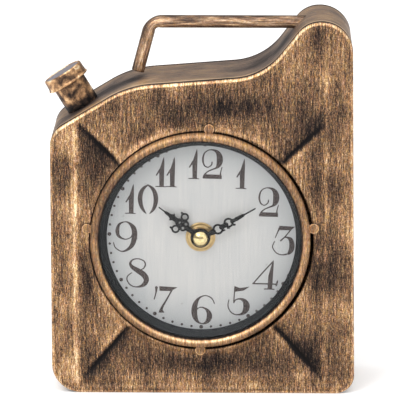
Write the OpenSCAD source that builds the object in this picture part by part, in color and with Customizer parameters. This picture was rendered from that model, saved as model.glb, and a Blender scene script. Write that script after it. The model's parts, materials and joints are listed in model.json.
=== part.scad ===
// Table clock in the shape of a fuel can: a soldered sheet-metal can with a tube handle and a
// capped filler neck, and a round clock insert with a battery quartz movement in its front.
// Frame: +Z up, +X to the right seen from the front, the front faces -Y. The origin is the
// middle of the flat bottom. The insert is built about its own axis, where z points forward.

/* [Can] */
// Width of the can at half its height
can_w = 170; // [168:0.5:176]
// How far the right side leans in at the top and out at the bottom
side_lean = 1.4; // [0:0.1:1.6]
// Height of the can at its shoulder
can_h = 213.5; // [212:0.5:216]
// Depth of the can from the front rim to the back rim
can_d = 60; // [58:0.5:66]
// Height of the left side, under the filler neck
left_h = 150.4; // [149:0.1:152]
// Width of the shoulder's top
shoulder_w = 27; // [27:0.1:28]
// Foot of the slope below the shoulder, across and up
slope_foot = [34.2, 182.7]; // [30:0.1:190]
// Edge between the top and the filler slope, across and up
top_edge = [-41.3, 176.8]; // [-44:0.1:178]
// Thickness of the sheet that the can is bent from
sheet = 1; // [0.8:0.1:1.2]
// Radius of the rolled rims of the front and the back
rim_r = 2.5; // [2:0.1:3]
// Depth of the flanges that sit inside the band
flange_d = 5; // [4:0.5:7]

/* [Pressed front] */
// Radius of the round opening in the front
front_hole_r = 63.3; // [63:0.1:63.8]
// How far the opening sits off the dial's centre, across and up
front_hole_shift = [0.8, -0.8]; // [-1:0.1:1]
// Distance of the left ridge from the centre
ridge_left = 71; // [69:0.5:73]
// Distance of the right ridge from the centre
ridge_right = 69; // [68:0.5:73]
// Height of the lower ridge
ridge_low = 8.5; // [6:0.5:10]
// Height of the fold above the dial
fold_high = 157; // [154:0.5:158]
// Slope of the four facets that lead to the opening
facet_slope = 0.14; // [0.05:0.01:0.18]
// Drop of the field behind the rim
field_drop = 1.3; // [0.8:0.1:1.6]

/* [Back] */
// Radius of the access opening in the back
back_hole_r = 44; // [42:0.5:50]

/* [Handle] */
// Outer radius of the handle's tube
handle_r = 3.6; // [3:0.1:4]
// Centre of the handle's bend, across and up
bend_centre = [-23.9, 201.1]; // [-26:0.1:203]
// How far the handle sits behind the middle of the can
handle_back = 4; // [0:0.5:12]
// Lean of the handle's upright leg, in degrees
handle_lean = 15; // [8:1:18]
// Radius of the handle's bend, along its middle
handle_bend_r = 6.8; // [6:0.1:9]

/* [Filler] */
// Foot of the neck on the slope, across and up
neck_foot = [-67.6, 160.7]; // [-69:0.1:162]
// Lean of the neck to the left, in degrees
neck_lean = 31.5; // [29:0.5:33]
// Outer radius of the neck
neck_r = 9.5; // [8.5:0.1:10]
// Length of the neck below the cap
neck_len = 15.4; // [13:0.1:16]
// Outer radius of the cap
cap_r = 12.5; // [12:0.05:12.8]
// Height of the cap
cap_h = 7.1; // [6:0.1:8]

/* [Clock insert] */
// Distance of the dial's centre from the middle of the can
dial_x = -0.9; // [-1.2:0.1:0]
// Height of the dial's centre above the bottom
dial_h = 89.4; // [88.5:0.1:90]
// Outer radius of the bezel
bezel_r = 61.8; // [61.5:0.1:62]
// Inner radius of the bezel
bezel_in_r = 56.6; // [56:0.1:57]
// Places of the bezel's four lugs, in degrees anticlockwise from three o'clock
lug_turns = [6.3, 85.6, 174.2, 270]; // [0:0.1:360]
// Width of a lug's neck
lug_w = 4.8; // [4:0.1:6]
// Radius of a lug's round end
lug_end_r = 3.2; // [2.6:0.1:3.4]
// Radius of the part of the dial that shows
dial_show_r = 53.3; // [52.5:0.1:54]
// Length of the minute hand
minute_len = 35.3; // [32:0.1:38]
// Length of the hour hand
hour_len = 29; // [26:0.1:30]
// Minutes past ten that the hands show
minutes_shown = 10.17; // [8:0.01:12]

/* [Movement] */
// Width and height of the movement's case
case_w = 56; // [56:0.5:58]
// Wall of the movement's case
case_wall = 1.2; // [1:0.1:1.3]

/* [Hidden] */
// Levels along the insert's axis, from the middle of the can forward
front = can_d / 2;
band_end = front - rim_r - 0.5;
glass_back = 29.8;
glass_front = 31.3;
bezel_back = 28.2;
bezel_top = 34;
dial_front = 21.5;
dial_back = 21;
cup_back = 20.2;
case_front = 19.2;
case_back = 3.2;
hour_hand_z = 24.4;
minute_hand_z = 26.4;
// Levels of the wheels, from the back to the front: first and last height of each
level_rotor = [5, 6.2];
level_second = [7, 8];
level_third = [8.8, 9.8];
level_centre = [10.6, 11.6];
level_bridge = [12.2, 13.2];
level_motion = [13.9, 15.1];
level_hour = [15.9, 16.9];
cover_front = case_back + 1;
wall_back = case_front - case_wall;
// Teeth and tooth sizes (the module, in mm) of each pair of wheels
rotor_teeth = 10;
intermediate_teeth = 50;
rotor_m = 0.3;
intermediate_pinion_teeth = 10;
second_teeth = 60;
second_m = 0.32;
second_pinion_teeth = 8;
third_teeth = 60;
third_pinion_teeth = 8;
centre_teeth = 64;
centre_m = 0.3;
cannon_teeth = 12;
motion_teeth = 36;
motion_m = 0.4;
motion_pinion_teeth = 10;
hour_teeth = 40;
// Distances between the arbors, and the tooth sizes that follow from a shared distance
centre_to_third = (third_pinion_teeth + centre_teeth) * centre_m / 2;
third_m = 2 * centre_to_third / (second_pinion_teeth + third_teeth);
centre_to_intermediate = (intermediate_pinion_teeth + second_teeth) * second_m / 2;
intermediate_to_rotor = (rotor_teeth + intermediate_teeth) * rotor_m / 2;
centre_to_motion = (cannon_teeth + motion_teeth) * motion_m / 2;
hour_m = 2 * centre_to_motion / (motion_pinion_teeth + hour_teeth);
// Directions between the arbors, seen from the front
third_dir = 135;
intermediate_dir = 45;
rotor_dir = 60;
motion_dir = 20;
setting_dir = -10;
third_at = polar(centre_to_third, third_dir);
intermediate_at = polar(centre_to_intermediate, intermediate_dir);
rotor_at = intermediate_at + polar(intermediate_to_rotor, rotor_dir);
motion_at = polar(centre_to_motion, motion_dir);
setting_at = motion_at + polar(centre_to_motion, setting_dir);
// Phases that put each pair of wheels in mesh at rest
second_phase = 0;
centre_phase = 0;
motion_phase = 0;
third_phase = 0;
intermediate_phase = 0;
hour_phase = 0;
// Running fits: radius of each shaft and the gap around it
fit = 0.06;
pivot_r = 0.35;
arbor_r = 0.5;
second_arbor_r = 0.6;
minute_arbor_r = 1.5;
hour_tube_r = 2.5;
bush_r = 4;
post_r = 0.9;
setting_arbor_r = 1;
// Battery cell of the common small round size, lying across the bottom of the case
cell_r = 7.1;
cell_len = 49;
cell_at = [-19.4, 10.6];
bay_top = -12;
// Hands turn clockwise from twelve
minute_angle = -minutes_shown * 6;
hour_angle = -(300 + minutes_shown / 2);
// Round parts
$fn = 96;
// Corners of the can's outline, anticlockwise from the bottom left: across, up, fillet radius
CORNERS = [
    [-can_w / 2, 0, 16.5],
    [can_w / 2 + side_lean, 0, 10.5],
    [can_w / 2 - side_lean, can_h, 17.5],
    [can_w / 2 - shoulder_w, can_h, 16],
    [slope_foot.x, slope_foot.y, 36.5],
    [top_edge.x, top_edge.y, 56],
    [-can_w / 2, left_h, 13.5],
];

// ---- Functions ----

function polar(r, a) = [r * cos(a), r * sin(a)];
function unit(v) = v / norm(v);
function left_of(v) = [-v.y, v.x];
function bell(t) = exp(-t * t);
function turned(v, a) = [v.x * cos(a) - v.y * sin(a), v.x * sin(a) + v.y * cos(a)];

// Corner i of the outline, with the corner index taken round
function corner(i) = let (c = CORNERS[(i + len(CORNERS)) % len(CORNERS)]) [c.x, c.y];
function side(i) = unit(corner(i + 1) - corner(i));

// The fillet at corner i, for an outline moved inward by inset
function fillet(i, inset, steps) =
    let (
        a = side(i - 1),
        b = side(i),
        turn = atan2(a.x * b.y - a.y * b.x, a * b),
        way = sign(turn),
        r = CORNERS[i].z - way * inset,
        vertex = corner(i) + inset * (left_of(a) + left_of(b)) / (1 + left_of(a) * left_of(b)),
        start = vertex - r * tan(abs(turn) / 2) * a,
        centre = start + way * r * left_of(a)
    )
    [for (k = [0:steps]) centre + turned(start - centre, turn * k / steps)];

// The outline moved inward by inset. Every side is cut into the same number of pieces at any
// inset, so two outlines pair up point by point.
function outline(inset = 0, steps = 12, piece = 1000) =
    [for (i = [0:len(CORNERS) - 1])
        let (
            arc = fillet(i, inset, steps),
            next = fillet((i + 1) % len(CORNERS), inset, steps)[0],
            pieces = ceil(norm(corner(i + 1) - corner(i)) / piece)
        )
        each concat(arc, [for (k = [1:1:pieces - 1]) arc[steps] + (next - arc[steps]) * k / pieces])];

// Depth of the pressed front behind its rim, at a point away from the rim
function pressed_depth(p) =
    let (
        from_left = p.x + ridge_left,
        from_right = ridge_right - p.x,
        from_low = p.y - ridge_low,
        inside = max(0, min(from_left, from_right, from_low, fold_high - p.y)),
        ridge = max(bell(from_left / 2.4), bell(from_right / 2.4), bell(from_low / 3)),
        lip = bell((norm(p - hole_at) - front_hole_r) / 3)
    )
    (field_drop - ridge + facet_slope * inside) * (1 - lip) + 0.7 * lip;
hole_at = [dial_x + front_hole_shift.x, dial_h + front_hole_shift.y];

// Points of a toothed wheel with a tooth at the given phase
function teeth_points(teeth, m, phase) =
    let (
        pitch = 360 / teeth,
        root_r = m * (teeth / 2 - 1.35),
        pitch_r = m * teeth / 2,
        tip_r = m * (teeth / 2 + 0.75)
    )
    [for (i = [0:teeth - 1])
        let (a = phase + i * pitch)
        each [
            polar(root_r, a - 0.27 * pitch), polar(pitch_r, a - 0.19 * pitch),
            polar(tip_r, a - 0.07 * pitch), polar(tip_r, a + 0.07 * pitch),
            polar(pitch_r, a + 0.19 * pitch), polar(root_r, a + 0.27 * pitch),
        ]];

// Phase of wheel b that meshes with wheel a, where dir points from a to b
function mesh_phase(teeth_a, phase_a, dir, teeth_b) =
    dir + 180 - (phase_a - dir) * teeth_a / teeth_b + 180 / teeth_b;

// ---- Helpers ----

// Children drawn in the plane of the front, where x is across, y is up and z is forward
module upright() {
    rotate([90, 0, 0])
        children();
}

module on_dial() {
    translate([dial_x, 0, dial_h])
        upright()
            children();
}

module at(place, z = 0) {
    translate([place.x, place.y, z])
        children();
}

module disc(r, z0, z1) {
    translate([0, 0, z0])
        cylinder(r = r, h = z1 - z0);
}

module tube(r, bore, z0, z1) {
    difference() {
        disc(r, z0, z1);
        disc(bore, z0 - 1, z1 + 1);
    }
}

// A flat block between two opposite corners
module block(low, high) {
    translate(low)
        cube(high - low);
}

// A toothed wheel between two heights, with no bore
module wheel(teeth, m, phase, level) {
    translate([0, 0, level[0]])
        linear_extrude(level[1] - level[0])
            polygon(teeth_points(teeth, m, phase));
}

// A closed skin through rings of equal length, where the last ring joins the first
module ring_skin(rings) {
    n = len(rings[0]);
    count = len(rings);
    points = [for (ring = rings) each ring];
    faces = [
        for (k = [0:count - 1], i = [0:n - 1])
            let (
                a = k * n + i,
                b = k * n + (i + 1) % n,
                c = ((k + 1) % count) * n + i,
                d = ((k + 1) % count) * n + (i + 1) % n
            )
            each [[a, c, b], [b, c, d]]
    ];
    polyhedron(points, faces);
}

// ---- Can ----

// Rings of a panel: flange, rolled rim, field and hole edge, then back along the inside
function rim_ring(inset, z) = [for (p = outline(inset, 4, 9)) [p.x, p.y, z]];

function field_ring(share, behind, pressed) =
    [for (p = outline(6, 4, 9))
        let (
            centre = pressed ? hole_at : [dial_x, dial_h],
            r = pressed ? front_hole_r : back_hole_r,
            q = p + (centre + r * unit(p - centre) - p) * share
        )
        [q.x, q.y, front - behind - (pressed ? pressed_depth(q) : field_drop)]];

function panel_rings(pressed) =
    let (
        gap = sheet + 0.25,
        skin = 0.8,
        rim_mid = front - rim_r,
        tip = band_end - flange_d,
        steps = pressed ? 6 : 1
    )
    concat(
        [rim_ring(gap, tip), rim_ring(gap, band_end), rim_ring(0, band_end)],
        [for (a = [0:30:90]) rim_ring(rim_r * (1 - cos(a)), rim_mid + rim_r * sin(a))],
        [rim_ring(rim_r + 1.2, front - field_drop / 3)],
        [for (k = [0:steps]) field_ring(k / steps, 0, pressed)],
        [for (k = [steps:-1:0]) field_ring(k / steps, skin, pressed)],
        [rim_ring(rim_r, front - skin - field_drop / 2), rim_ring(gap + skin, rim_mid)],
        [rim_ring(gap + skin, tip)]
    );

module can_band() {
    color("#84756e")
        upright()
            translate([0, 0, -band_end])
                linear_extrude(2 * band_end)
                    difference() {
                        polygon(outline());
                        polygon(outline(sheet));
                    }
}

module front_panel() {
    color("#98795f")
        upright()
            ring_skin(panel_rings(true));
}

module back_panel() {
    color("#7a5f4a")
        upright()
            mirror([0, 0, 1])
                ring_skin(panel_rings(false));
}

// ---- Handle ----

// The bent bar: an upright leg, a round bend and a straight run to the shoulder. The leg and the
// run are a hair thinner and start just inside the bend, so the three make one body.
module handle_bar(r) {
    bend = 90 - handle_lean;
    leg_top = bend_centre + polar(handle_bend_r, 90 + bend);
    lap = 0.1;
    straight_r = r - 0.04;
    at(bend_centre)
        rotate([0, 0, 90])
            rotate_extrude(angle = bend)
                translate([handle_bend_r, 0])
                    circle(r, $fn = 48);
    at(leg_top)
        rotate([90, 0, -handle_lean])
            translate([0, 0, -lap])
                cylinder(r = straight_r, h = 40, $fn = 48);
    at(bend_centre + [-lap, handle_bend_r])
        rotate([0, 90, 0])
            cylinder(r = straight_r, h = can_w / 2 - bend_centre.x - 18, $fn = 48);
}

module handle() {
    color("#977861")
        upright()
            difference() {
                translate([0, 0, -handle_back])
                    handle_bar(handle_r);
                translate([0, 0, -handle_back])
                    handle_bar(handle_r - 0.8);
                translate([0, 0, -can_d])
                    linear_extrude(2 * can_d)
                        polygon(outline());
            }
}

// ---- Filler neck and cap ----

// Children about the neck's own axis, where z runs out of the can
module on_neck() {
    translate([neck_foot.x, 0, neck_foot.y])
        rotate([0, -neck_lean, 0])
            children();
}

module filler_neck() {
    neck_top = neck_len + cap_h - 1.6;
    color("#6f5646")
        difference() {
            on_neck()
                difference() {
                    disc(neck_r, -6, neck_top);
                    disc(neck_r - 1, -7, neck_top - 1);
                }
            translate([0, can_d, 0])
                upright()
                    linear_extrude(2 * can_d)
                        polygon(outline());
        }
}

module filler_cap() {
    top = neck_len + cap_h;
    color("#987761")
        on_neck()
            rotate_extrude()
                polygon([
                    [0, top - 1.2], [neck_r + 0.1, top - 1.2], [neck_r + 0.1, neck_len],
                    [cap_r, neck_len], [cap_r, neck_len + 1.4], [cap_r - 0.5, neck_len + 1.8],
                    [cap_r - 0.7, top - 0.8], [cap_r - 1.5, top], [0, top],
                ]);
}

// ---- Clock insert ----

module bezel_ring() {
    bead_r = (bezel_r - bezel_in_r) / 2;
    bead_z = bezel_top - bead_r;
    seat_r = bezel_in_r + 1.8;
    lug_z = 29.7;
    color("#94745a")
        on_dial()
            union() {
                rotate_extrude()
                    difference() {
                        union() {
                            translate([bezel_r - bead_r, bead_z])
                                circle(bead_r);
                            translate([seat_r, bezel_back])
                                square([bezel_r - seat_r, bead_z - bezel_back]);
                            translate([bezel_in_r, glass_front + 0.05])
                                square([seat_r - bezel_in_r + 0.1, bead_z - glass_front - 0.05]);
                        }
                        translate([bezel_in_r - 1, bezel_back - 1])
                            square([seat_r - bezel_in_r + 1, glass_front + 0.05 - bezel_back + 1]);
                    }
                for (a = lug_turns)
                    rotate([0, 0, a]) {
                        block([bezel_r - 1, -lug_w / 2, lug_z], [bezel_r + 2, lug_w / 2, lug_z + 1.3]);
                        translate([bezel_r + 2.2, 0, 0])
                            disc(lug_end_r, lug_z, lug_z + 1.3);
                    }
            }
}

module glass_lens() {
    color("#dfe8ea")
        on_dial()
            disc(bezel_in_r + 1.6, glass_back, glass_front);
}

module reflector_ring() {
    seat_r = bezel_in_r + 1.6;
    color("#3a3a3c")
        on_dial()
            rotate_extrude()
                polygon([
                    [dial_show_r, dial_front], [dial_show_r + 1, dial_front],
                    [bezel_in_r + 0.8, glass_back - 0.8], [seat_r, glass_back - 0.8],
                    [seat_r, glass_back], [bezel_in_r - 0.1, glass_back],
                ]);
}

module dial_plate() {
    color("#d4d4d2")
        on_dial()
            tube(bezel_in_r + 1.6, bush_r + 0.1, dial_back, dial_front);
}

module dial_case() {
    cup_r = bezel_in_r + 2.6;
    color("#4c4a48")
        on_dial()
            difference() {
                disc(cup_r, cup_back, bezel_back);
                disc(cup_r - 0.8, dial_back, bezel_back + 1);
                disc(bush_r + 0.1, cup_back - 1, bezel_back);
            }
}

module rubber_washer() {
    color("#202020")
        on_dial()
            tube(9, bush_r + 0.05, case_front, cup_back);
}

module brass_washer() {
    color("#b2945e")
        on_dial()
            tube(8.4, bush_r + 0.05, dial_front, dial_front + 0.6);
}

module hex_nut() {
    color("#b89a5c")
        on_dial()
            difference() {
                translate([0, 0, dial_front + 0.6])
                    cylinder(r = 6, h = 1.6, $fn = 6);
                disc(bush_r, dial_front, dial_front + 4);
            }
}

module threaded_bush() {
    color("#c0a468")
        on_dial()
            difference() {
                union() {
                    disc(bush_r, wall_back, dial_front + 2.2);
                    disc(bush_r + 1.2, wall_back - 0.7, wall_back);
                }
                disc(hour_tube_r + fit, wall_back - 2, dial_front + 4);
            }
}

// ---- Movement: the parts that stand still ----

module movement_case() {
    half = case_w / 2;
    inner = half - case_wall;
    color("#2b2b2d")
        on_dial()
            difference() {
                block([-half, -half, case_back], [half, half, case_front]);
                block([-inner, bay_top + 1, case_back - 1], [inner, inner, wall_back]);
                block([-inner, -inner, case_back - 1], [inner, bay_top, wall_back]);
                block([-half - 1, bay_top + 0.5, case_back - 1], [half + 1, half + 1, cover_front]);
                disc(bush_r + 0.05, wall_back - 1, case_front + 1);
                at(setting_at, wall_back - 1)
                    cylinder(r = pivot_r + fit, h = 1.6, $fn = 32);
            }
}

module movement_cover() {
    half = case_w / 2;
    color("#303032")
        on_dial()
            difference() {
                block([-half, bay_top + 0.5, case_back], [half, half, cover_front]);
                at(setting_at, case_back - 1)
                    cylinder(r = setting_arbor_r + fit, h = 3, $fn = 48);
                for (place = [[0, 0], third_at, intermediate_at, rotor_at])
                    at(place, cover_front - 0.6)
                        cylinder(r = pivot_r + fit, h = 1, $fn = 32);
            }
}

// Plate between the going train and the motion work, on three pillars, with the motion post
module train_bridge() {
    color("#d8d4c8")
        on_dial()
            difference() {
                union() {
                    translate([0, 0, level_bridge[0]])
                        linear_extrude(level_bridge[1] - level_bridge[0])
                            polygon([[-16, -9], [13, -9], [15, 6], [22, 9], [22, 19], [-16, 19]]);
                    for (place = [[-13.5, -6.5], [-12, 16], [19.5, 16.5]])
                        at(place)
                            disc(1.6, level_bridge[0] + 0.1, wall_back);
                    at(motion_at)
                        disc(post_r, level_bridge[0] + 0.1, wall_back);
                }
                disc(minute_arbor_r + fit, level_bridge[0] - 1, level_bridge[1] + 1);
                for (place = [third_at, intermediate_at, rotor_at])
                    at(place, level_bridge[0] - 1)
                        cylinder(r = pivot_r + fit, h = 1.7, $fn = 32);
            }
}

module circuit_board() {
    color("#2f5a38")
        on_dial()
            block([-26.4, -10.4, 11], [-18.6, 14, 12]);
}

module chip_cap() {
    color("#141414")
        on_dial()
            at([-22.5, 2])
                rotate_extrude()
                    polygon([[0, 12], [2.8, 12], [2.2, 12.9], [0.8, 13.4], [0, 13.4]]);
}

module quartz_crystal() {
    color("#c4c6c8")
        on_dial()
            translate([-22.5, -9, 13.5])
                rotate([-90, 0, 0])
                    cylinder(r = 1.5, h = 8, $fn = 48);
}

module coil_core() {
    color("#8c8c8e")
        on_dial()
            block([-21, 22.3, 10.2], [21, 25.1, 11.2]);
}

module coil_winding() {
    color("#b4642c")
        on_dial()
            translate([0, 23.7, 10.7])
                rotate([0, 90, 0])
                    difference() {
                        cylinder(r = 2.9, h = 28, center = true, $fn = 64);
                        cube([1.2, 3, 30], center = true);
                    }
}

module stator_plate() {
    magnet_gap_r = 3.5;
    pole_r = 4.9;
    color("#9a9a9c")
        on_dial()
            translate([0, 0, 9.2])
                linear_extrude(1)
                    difference() {
                        union() {
                            translate([-21, 18.2])
                                square([42, 2]);
                            for (x = [-21, 17])
                                translate([x, 18.2])
                                    square([4, 6.9]);
                            translate(rotor_at)
                                circle(pole_r);
                        }
                        translate(rotor_at)
                            circle(magnet_gap_r);
                    }
}

module contact_strip(x) {
    on_dial()
        translate([x, cell_at[0], cell_at[1]])
            cube([0.4, 7, 9], center = true);
}

module contact_plus() {
    color("#c8c8c4")
        contact_strip(cell_len / 2 + 1.9);
}

module contact_minus() {
    color("#c8c8c4")
        contact_strip(-cell_len / 2 - 0.6);
}

module battery_cell() {
    color("#3c6e50")
        on_dial()
            translate([-cell_len / 2, cell_at[0], cell_at[1]])
                rotate([0, 90, 0])
                    union() {
                        cylinder(r = cell_r, h = cell_len);
                        cylinder(r = 2.7, h = cell_len + 1.3, $fn = 48);
                    }
}

// ---- Movement: the wheels ----

// An arbor of radius r with thin pivots in the cover and in the bridge
module pivoted_arbor(r) {
    disc(pivot_r, cover_front - 0.5, level_bridge[0] + 0.6);
    disc(r, cover_front + 0.2, level_bridge[0] - 0.2);
}

module rotor_magnet() {
    color("#707276")
        on_dial()
            at(rotor_at)
                tube(3, arbor_r, 8.2, 11.2);
}

module rotor_pinion() {
    phase = mesh_phase(intermediate_teeth, intermediate_phase, rotor_dir, rotor_teeth);
    color("#e6e2d6")
        on_dial()
            at(rotor_at)
                union() {
                    pivoted_arbor(arbor_r);
                    wheel(rotor_teeth, rotor_m, phase, level_rotor + [-0.2, 0.2]);
                }
}

module intermediate_wheel() {
    color("#efe9da")
        on_dial()
            at(intermediate_at)
                difference() {
                    wheel(intermediate_teeth, rotor_m, intermediate_phase, level_rotor);
                    disc(arbor_r, 0, 20);
                }
}

module intermediate_arbor() {
    phase = mesh_phase(second_teeth, second_phase, intermediate_dir, intermediate_pinion_teeth);
    color("#e6e2d6")
        on_dial()
            at(intermediate_at)
                union() {
                    pivoted_arbor(arbor_r);
                    wheel(intermediate_pinion_teeth, second_m, phase, level_second + [-0.2, 0.2]);
                }
}

module second_wheel() {
    color("#efe9da")
        on_dial()
            difference() {
                wheel(second_teeth, second_m, second_phase, level_second);
                disc(second_arbor_r, 0, 20);
            }
}

module second_arbor() {
    phase = mesh_phase(third_teeth, third_phase, third_dir + 180, second_pinion_teeth);
    color("#e6e2d6")
        on_dial()
            union() {
                disc(pivot_r, cover_front - 0.5, cover_front + 0.4);
                disc(second_arbor_r, cover_front + 0.2, minute_hand_z + 1.4);
                wheel(second_pinion_teeth, third_m, phase, level_third + [-0.2, 0.2]);
            }
}

module third_wheel() {
    color("#efe9da")
        on_dial()
            at(third_at)
                difference() {
                    wheel(third_teeth, third_m, third_phase, level_third);
                    disc(arbor_r, 0, 20);
                }
}

module third_arbor() {
    phase = mesh_phase(centre_teeth, centre_phase, third_dir, third_pinion_teeth);
    color("#e6e2d6")
        on_dial()
            at(third_at)
                union() {
                    pivoted_arbor(arbor_r);
                    wheel(third_pinion_teeth, centre_m, phase, level_centre + [-0.2, 0.2]);
                }
}

// Drives the minute arbor through friction, so the hands can be set while the train stands
module centre_wheel() {
    color("#efe9da")
        on_dial()
            difference() {
                wheel(centre_teeth, centre_m, centre_phase, level_centre);
                disc(minute_arbor_r + fit, 0, 20);
            }
}

module minute_arbor() {
    phase = mesh_phase(motion_teeth, motion_phase, motion_dir + 180, cannon_teeth);
    color("#c9ae74")
        on_dial()
            difference() {
                union() {
                    disc(minute_arbor_r, level_centre[0] - 0.3, minute_hand_z + 1.8);
                    wheel(cannon_teeth, motion_m, phase, level_motion + [-0.2, 0.2]);
                }
                disc(second_arbor_r + 0.08, 0, 40);
            }
}

module motion_wheel() {
    pinion_phase = mesh_phase(hour_teeth, hour_phase, motion_dir, motion_pinion_teeth);
    color("#efe9da")
        on_dial()
            at(motion_at)
                difference() {
                    union() {
                        wheel(motion_teeth, motion_m, motion_phase, level_motion);
                        wheel(motion_pinion_teeth, hour_m, pinion_phase,
                              [level_motion[1] - 0.1, level_hour[1] + 0.2]);
                    }
                    disc(post_r + fit, 0, 20);
                }
}

module hour_wheel() {
    color("#e9e4d4")
        on_dial()
            difference() {
                union() {
                    wheel(hour_teeth, hour_m, hour_phase, level_hour);
                    disc(hour_tube_r, level_hour[0] - 0.2, hour_hand_z + 1.2);
                }
                disc(minute_arbor_r + 0.08, 0, 40);
            }
}

module setting_pinion() {
    phase = mesh_phase(motion_teeth, motion_phase, setting_dir, cannon_teeth);
    color("#e6e2d6")
        on_dial()
            at(setting_at)
                union() {
                    disc(setting_arbor_r, -0.8, wall_back - 0.3);
                    disc(pivot_r, wall_back - 0.4, wall_back + 0.5);
                    wheel(cannon_teeth, motion_m, phase, level_motion + [-0.2, 0.2]);
                }
}

module setting_knob() {
    knob_r = 6;
    color("#1f1f21")
        on_dial()
            at(setting_at)
                difference() {
                    disc(knob_r, -2, case_back - 0.5);
                    for (a = [0:30:330])
                        rotate([0, 0, a])
                            translate([knob_r + 0.3, 0, -3])
                                cylinder(r = 0.8, h = 6, $fn = 24);
                    disc(setting_arbor_r, -0.8, case_back);
                }
}

// ---- Hands ----

// A flat ring in the plane of a hand
module loop(r, hole, x, y = 0) {
    translate([x, y])
        difference() {
            circle(r, $fn = 48);
            circle(hole, $fn = 48);
        }
}

// A straight taper along a hand, from one half-width to another
module taper(x0, x1, w0, w1) {
    polygon([[x0, -w0], [x1, -w1], [x1, w1], [x0, w0]]);
}

module hour_hand() {
    hub_r = 5.6;
    color("#101010")
        on_dial()
            rotate([0, 0, 90 + hour_angle])
                translate([0, 0, hour_hand_z])
                    linear_extrude(0.5)
                        union() {
                            loop(hub_r, hour_tube_r, 0);
                            taper(5.2, 10, 1.2, 0.8);
                            for (way = [-1, 1])
                                loop(2.3, 1.35, 11.6, way * 3.1);
                            loop(1.75, 0.95, 10.6);
                            loop(1.75, 0.95, 14);
                            taper(15.2, 17.6, 1.1, 1.9);
                            taper(17.6, 18.6, 2.2, 2.2);
                            taper(18.6, hour_len - 4.5, 1.5, 0.5);
                            taper(hour_len - 4.5, hour_len, 0.45, 0.3);
                        }
}

module minute_hand() {
    hub_r = 5;
    color("#101010")
        on_dial()
            rotate([0, 0, 90 + minute_angle])
                translate([0, 0, minute_hand_z])
                    linear_extrude(0.5)
                        union() {
                            loop(hub_r, minute_arbor_r, 0);
                            taper(4.7, 8.2, 1.3, 0.9);
                            loop(2.6, 1.75, 10);
                            taper(12.2, 13.4, 1.3, 0.9);
                            loop(2.5, 1.6, 15.6);
                            taper(17.8, 20.4, 1.4, 0.9);
                            taper(20.4, 21.2, 1.6, 1.6);
                            taper(21.2, 24.4, 0.9, 0.8);
                            taper(24.4, 25.2, 1.3, 1.3);
                            taper(25.2, minute_len, 0.55, 0.4);
                        }
}

module hand_nut() {
    nut_r = 4.3;
    dome_h = 1.9;
    dome_r = (nut_r * nut_r + dome_h * dome_h) / (2 * dome_h);
    foot_z = minute_hand_z + 0.5;
    color("#d8c27c")
        on_dial()
            rotate_extrude()
                difference() {
                    union() {
                        translate([0, foot_z])
                            square([nut_r, 0.5]);
                        intersection() {
                            translate([0, foot_z + 0.5 + dome_h - dome_r])
                                circle(dome_r);
                            translate([0, foot_z + 0.5])
                                square([nut_r, 2]);
                        }
                    }
                    translate([-1, foot_z - 1])
                        square([minute_arbor_r + 1, 2.5]);
                }
}

can_band();
front_panel();
back_panel();
handle();
filler_neck();
filler_cap();
bezel_ring();
glass_lens();
reflector_ring();
dial_plate();
dial_case();
rubber_washer();
brass_washer();
hex_nut();
threaded_bush();
movement_case();
movement_cover();
train_bridge();
circuit_board();
chip_cap();
quartz_crystal();
coil_core();
coil_winding();
stator_plate();
contact_plus();
contact_minus();
battery_cell();
rotor_magnet();
rotor_pinion();
intermediate_wheel();
intermediate_arbor();
second_wheel();
second_arbor();
third_wheel();
third_arbor();
centre_wheel();
minute_arbor();
motion_wheel();
hour_wheel();
setting_pinion();
setting_knob();
hour_hand();
minute_hand();
hand_nut();
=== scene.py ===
"""Looks of the fuel-can table clock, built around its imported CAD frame."""
import cmath
import json
import math

import bpy
import numpy as np
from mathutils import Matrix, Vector, noise


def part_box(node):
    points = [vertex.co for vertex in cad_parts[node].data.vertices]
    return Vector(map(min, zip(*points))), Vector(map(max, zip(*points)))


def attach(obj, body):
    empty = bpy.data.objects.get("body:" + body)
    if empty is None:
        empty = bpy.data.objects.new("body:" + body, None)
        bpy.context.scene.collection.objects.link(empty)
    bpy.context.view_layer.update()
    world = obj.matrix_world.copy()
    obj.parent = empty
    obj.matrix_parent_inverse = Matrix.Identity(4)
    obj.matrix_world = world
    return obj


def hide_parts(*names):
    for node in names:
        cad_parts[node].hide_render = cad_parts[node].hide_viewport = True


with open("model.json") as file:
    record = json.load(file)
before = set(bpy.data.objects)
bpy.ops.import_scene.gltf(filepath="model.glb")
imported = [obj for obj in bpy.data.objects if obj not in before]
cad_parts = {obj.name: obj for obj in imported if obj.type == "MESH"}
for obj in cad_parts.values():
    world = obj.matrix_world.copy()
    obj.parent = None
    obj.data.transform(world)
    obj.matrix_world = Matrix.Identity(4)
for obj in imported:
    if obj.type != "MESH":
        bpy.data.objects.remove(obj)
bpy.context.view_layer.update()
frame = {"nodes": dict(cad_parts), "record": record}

nodes = frame["nodes"]

# ---- Sizes, in millimetres: x to the right, z up, y to the back ----

MM = 0.001
band_low, band_high = (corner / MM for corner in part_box("can_band"))
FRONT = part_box("front_panel")[0].y / MM
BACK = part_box("back_panel")[1].y / MM
SHEET = 0.8
RIM_R = 2.0
SEAM = RIM_R + 1.0
# Distance between neighbouring points of the outline
SPACING = 1.1
LEFT, TOP = band_low.x, band_high.z
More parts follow.
